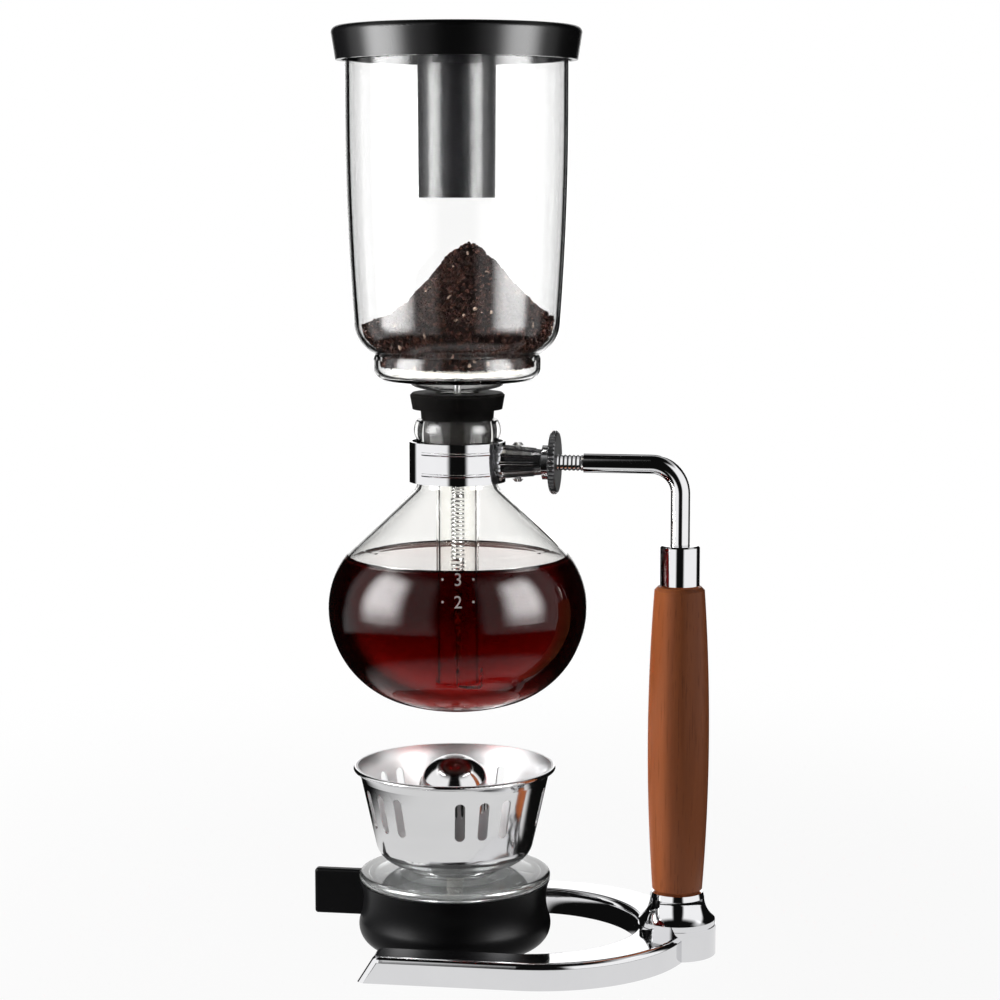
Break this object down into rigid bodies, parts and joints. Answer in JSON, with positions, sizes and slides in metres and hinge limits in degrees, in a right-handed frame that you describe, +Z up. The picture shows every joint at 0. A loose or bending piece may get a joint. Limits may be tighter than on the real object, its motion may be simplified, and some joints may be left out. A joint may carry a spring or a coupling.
{
  "type": "siphon coffee maker",
  "caption": "Siphon coffee maker: glass chamber with stopper and cloth filter over a clamped glass flask, on a horseshoe stand with a wooden grip, heated by a spirit burner.",
  "frame": {"origin": "On the table, under the middle of the whole maker's box.", "axes": "+X runs from the flask towards the wooden grip, +Z is up, and +Y points away from the viewer."},
  "size_m": [0.1494, 0.112, 0.335],
  "materials": {
    "chrome": "bright mirror plating",
    "polished_steel": "polished stainless sheet",
    "plain_steel": "plain stainless",
    "knurled_steel": "knurled rim, plated",
    "wood": "satin varnish over brown wood",
    "flask_glass": "clear and smooth",
    "chamber_glass": "clear and smooth",
    "fuel_glass": "clear moulded glass",
    "black_rubber": "matt",
    "lid_plastic": "glossy black",
    "burner_plastic": "satin black",
    "filter_cloth": "brushed cotton",
    "wick_cotton": "twisted cotton"
  },
  "bodies": {
    "stand": {"base": "chrome", "handle_foot": "chrome", "wood_handle": "wood", "ferrule": "chrome", "arm_rod": "chrome", "foot_washer": "plain_steel", "foot_nut": "plain_steel", "clamp_band": "chrome", "clamp_liner": "black_rubber", "clamp_rivet": "plain_steel"},
    "flask": {"flask": "flask_glass"},
    "clamp_collar": {"clamp_washer": "chrome"},
    "clamp_wheel": {"clamp_nut": "knurled_steel"},
    "upper": {"upper_chamber": "chamber_glass", "siphon_tube": "chamber_glass", "stopper": "black_rubber", "filter_plate": "plain_steel", "filter_cloth": "filter_cloth", "filter_stem": "plain_steel", "filter_spring": "plain_steel"},
    "filter_pull": {"bead_chain": "plain_steel", "chain_hook": "plain_steel"},
    "lid": {"lid": "lid_plastic"},
    "burner": {"burner_body": "burner_plastic", "fuel_glass": "fuel_glass", "wick_collar": "polished_steel", "wick": "wick_cotton"},
    "windscreen": {"windscreen": "polished_steel"},
    "snuffer": {"snuffer_cap": "polished_steel"}
  },
  "joints": [
    {"name": "flask_turn", "type": "hinge", "parent": "stand", "child": "flask", "pos_m": [-0.02065, 0, 0.1795], "axis": [0, 0, 1], "continuous": true},
    {"name": "collar_slide", "type": "slide", "parent": "stand", "child": "clamp_collar", "axis": [1, 0, 0], "range_m": [0, 0.006]},
    {"name": "wheel_spin", "type": "hinge", "parent": "clamp_collar", "child": "clamp_wheel", "pos_m": [0.01365, 0, 0.1795], "axis": [1, 0, 0], "range_deg": [0, 1440]},
    {"name": "chamber_lift", "type": "slide", "parent": "flask", "child": "upper", "axis": [0, 0, 1], "range_m": [0, 0.105]},
    {"name": "filter_pull", "type": "slide", "parent": "upper", "child": "filter_pull", "axis": [0, 0, -1], "range_m": [0, 0.004], "stiffness_N_per_m": 400, "springref_m": -0.004, "deforming": ["filter_spring"]},
    {"name": "lid_lift", "type": "slide", "parent": "upper", "child": "lid", "axis": [0, 0, 1], "range_m": [0, 0.08]},
    {"name": "burner_slide", "type": "slide", "parent": "stand", "child": "burner", "axis": [-1, 0, 0], "range_m": [0, 0.11]},
    {"name": "windscreen_turn", "type": "hinge", "parent": "burner", "child": "windscreen", "pos_m": [-0.02195, 0, 0.031], "axis": [0, 0, 1], "continuous": true},
    {"name": "snuffer_lift", "type": "slide", "parent": "burner", "child": "snuffer", "axis": [0, 0, 1], "range_m": [0, 0.015]}
  ],
  "couplings": [
    {"joint": "collar_slide", "follows": "wheel_spin", "m_per_rad": 0.00023873}
  ]
}
